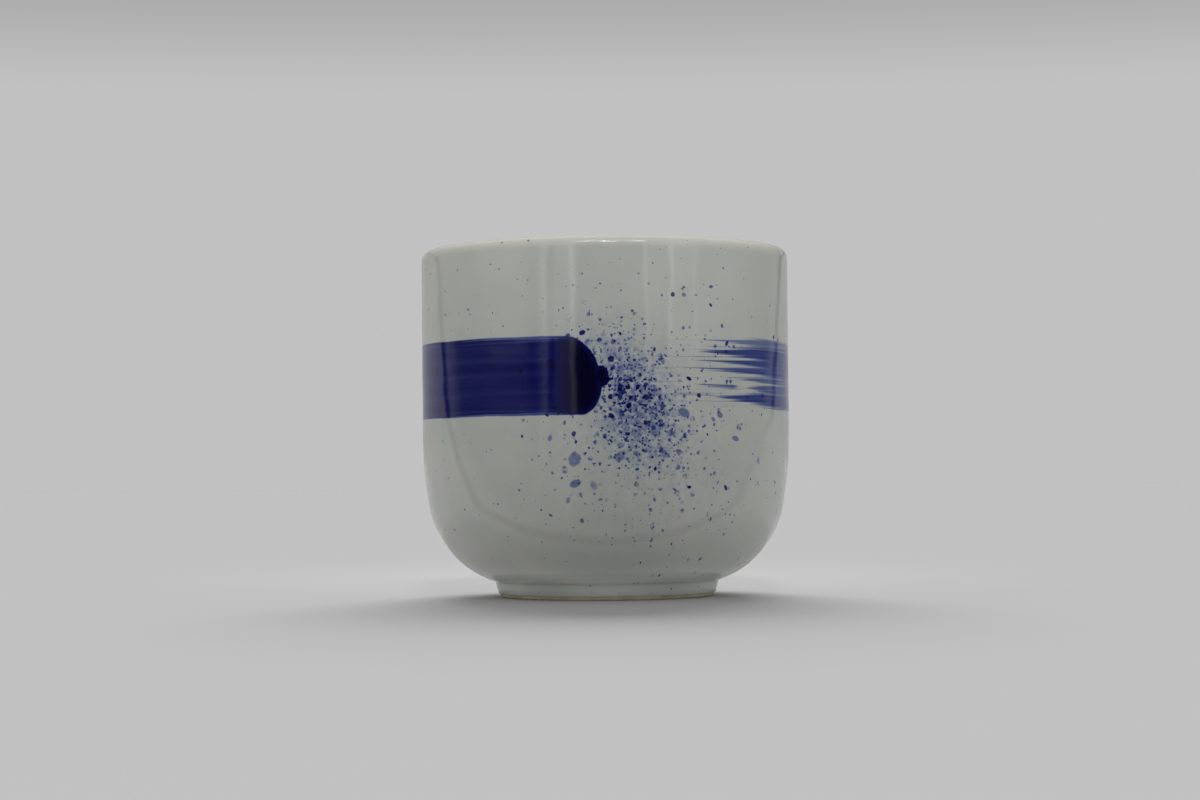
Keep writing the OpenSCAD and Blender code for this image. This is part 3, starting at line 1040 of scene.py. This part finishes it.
class TEACUP_OT_studio(bpy.types.Operator):
    """Sets the floor, the surroundings, the lamps and the camera"""

    bl_idname = "teacup.studio"
    bl_label = "Studio"

    def execute(self, context):
        studio = context.scene.teacup_studio
        self.floor(studio)
        self.room()
        self.surroundings(context.scene, studio)
        self.lamps()
        self.camera(context.scene, studio)
        context.scene.view_settings.view_transform = "Standard"
        return {"FINISHED"}

    def floor(self, studio):
        """Wide floor with a faint grain."""
        bpy.ops.object.select_all(action="DESELECT")
        bpy.ops.mesh.primitive_circle_add(vertices=STAGE_SEGMENTS, radius=6, fill_type="NGON")
        floor = bpy.context.object
        floor.name = "floor"
        finish = Finish("pale_floor")
        grain = finish.noise(40)
        colour = finish.mix(0.02 * grain, studio.ground, WHITE)
        floor.data.materials.append(
            finish.set(Base_Color=colour, Roughness=0.9, Specular_IOR_Level=0.0)
        )

    def room(self):
        """Dim room round the front, which only the gloss shows, with its gleams and its edge."""
        near, far, lift, high = 0.027, 0.9, 0.0002, 0.75
        outline = [Vector((near, lift)), Vector((far, lift)), Vector((far, high))]
        screen = turn_on_wheel("dim_room", outline, STAGE_SEGMENTS)
        finish = Finish("dim_room")
        x, y, z = finish.x, finish.y, finish.z
        azimuth = maths("ARCTAN2", x, 0 - y) / (2 * math.pi) + 0.5
        gleams = [
            (0.5 + degrees / 360, [level / BRIGHTEST_GLEAM] * 3) for degrees, level in GLEAMS
        ]
        dimmed = finish.mix(0.75 * ramp(125, 92, z), finish.scale(azimuth, gleams), BLACK)
        haze = [0.09] * 3

        # The room's edge bends round the cup and leans back, more so on the right. A dark line
        # follows it, and near the foot the room is closed all round.
        steeper = ramp(-300, 300, x) * (0.6 * z + 3 * maths("MINIMUM", z, 55))
        edge = 0.4 * maths("SQRT", x**2 + 100**2) - 82 + 2.4 * z + steeper
        away = maths("SQRT", x**2 + y**2)
        depth = (edge - y) / away
        dark_line = ramp(0.065, 0.05, abs(depth - 0.045))
        closed = ramp(90, 60, away)
        screen.data.materials.append(
            finish.set(
                Base_Color=BLACK,
                Specular_IOR_Level=0.0,
                Emission_Color=finish.mix(ramp(0.4, 0.12, depth), dimmed, haze),
                Emission_Strength=BRIGHTEST_GLEAM * (1 - dark_line),
                Alpha=maths("MAXIMUM", depth > 0, closed),
            )
        )
        for kind in ("camera", "diffuse", "transmission", "volume_scatter", "shadow"):
            setattr(screen, f"visible_{kind}", False)

    def surroundings(self, scene, studio):
        """Soft light from a dome that is brighter overhead, and a pale background with painted shade
        towards the top.
        """
        world = bpy.data.worlds.new("studio")
        world.use_nodes = True
        scene.world = world
        tree = world.node_tree
        shader = tree.nodes["Background"]
        split = tree.nodes.new("ShaderNodeSeparateXYZ")
        tree.links.new(tree.nodes.new("ShaderNodeTexCoord").outputs["Generated"], split.inputs[0])
        x, y, z = (Number(tree, s) for s in split.outputs)
        rise = maths("MAXIMUM", z, 0)
        front = maths("MAXIMUM", 0.3 * x - 0.95 * y, 0)
        left = maths("MAXIMUM", 0 - x, 0)
        dome = 0.25 + 0.2 * rise + 0.3 * front**2 + 0.09 * left

        path = tree.nodes.new("ShaderNodeLightPath").outputs
        glossy = Number(tree, path["Is Glossy Ray"])
        seen = Number(tree, path["Is Camera Ray"]) + glossy
        seen = maths("MINIMUM", seen + Number(tree, path["Is Transmission Ray"]), 1)
        # Painted shade: the background darkens towards the top, and reflections see it a fifth darker
        # still
        high = ramp(0.145, 0.19, rise)
        backdrop = blend(tree, 0.24 * high, studio.ground, BLACK)
        backdrop = blend(tree, 0.2 * glossy, backdrop, BLACK)
        tree.links.new(blend(tree, seen, dome, backdrop), shader.inputs["Color"])

    def lamps(self):
        """A broad lamp behind, soft spots on the wall, cards round the foot and panes for the lip."""
        rise = math.radians(40)
        floor_level = 0.553
        sun = light(
            "behind",
            "SUN",
            (0, math.cos(rise), math.sin(rise)),
            (0, 0, 0),
            energy=floor_level * math.pi / math.sin(rise),
            angle=math.radians(45),
        )
        sun.visible_glossy = False
        for name, place, aim, power, degrees, in_gloss in SPOTS:
            spot = light(
                name,
                "SPOT",
                place,
                aim,
                energy=power,
                spot_size=math.radians(degrees),
                spot_blend=1,
                shadow_soft_size=0.05,
            )
            spot.visible_glossy = in_gloss
        for degrees in range(0, 360, 60):
            place = swung(degrees, (0, -0.028, 0.0005))
            aim = 0.98 * place + 0.05 * UP
            card = flat_lamp("card", place, aim, level=0.25, width=0.032, height=0.006)
            card.visible_glossy = False
        for degrees, width in PANES:
            place = swung(degrees, (0, -0.8, 1))
            pane = flat_lamp("pane", place, (0, 0, 0.05), level=9, width=width, height=0.5)
            pane.visible_diffuse = False

    def camera(self, scene, studio):
        """Camera at the front, level with the wall, that looks up a little."""
        bpy.ops.object.camera_add()
        camera = bpy.context.object
        camera.matrix_world = (
            Matrix.Translation(studio.camera_place)
            @ Matrix.Rotation(math.pi / 2 + studio.camera_rise, 4, "X")
            @ Matrix.Rotation(studio.camera_roll, 4, "Z")
        )
        camera.data.sensor_width = SENSOR_WIDTH
        camera.data.lens = SENSOR_WIDTH * studio.focal_px / PHOTO_WIDTH
        camera.data.clip_start = 10 * MM
        scene.camera = camera


class TEACUP_PT_panel(bpy.types.Panel):
    """Lists the teacup's pieces"""

    bl_idname = "TEACUP_PT_panel"
    bl_label = "Teacup"
    bl_space_type = "VIEW_3D"
    bl_region_type = "UI"
    bl_category = "Teacup"

    def draw(self, context):
        for operator in OPERATORS:
            self.layout.operator(operator.bl_idname)


OPERATORS = (
    TEACUP_OT_outer_coat,
    TEACUP_OT_inside_coat,
    TEACUP_OT_recess_coat,
    TEACUP_OT_foot,
    TEACUP_OT_hidden_clay,
    TEACUP_OT_studio,
)
SETTINGS = {
    "teacup_shape": TeacupShape,
    "teacup_glaze": TeacupGlaze,
    "teacup_stroke": TeacupStroke,
    "teacup_studio": TeacupStudio,
}
CLASSES = (*SETTINGS.values(), *OPERATORS, TEACUP_PT_panel)


def register():
    for cls in CLASSES:
        bpy.utils.register_class(cls)
    for name, group in SETTINGS.items():
        setattr(bpy.types.Scene, name, PointerProperty(type=group))


def unregister():
    for name in SETTINGS:
        delattr(bpy.types.Scene, name)
    for cls in reversed(CLASSES):
        bpy.utils.unregister_class(cls)


def main():
    """Builds the teacup and its stage."""
    register()
    bpy.ops.teacup.outer_coat()
    bpy.ops.teacup.inside_coat()
    bpy.ops.teacup.recess_coat()
    bpy.ops.teacup.foot()
    bpy.ops.teacup.hidden_clay()
    bpy.ops.teacup.studio()


if __name__ == "__main__":
    main()
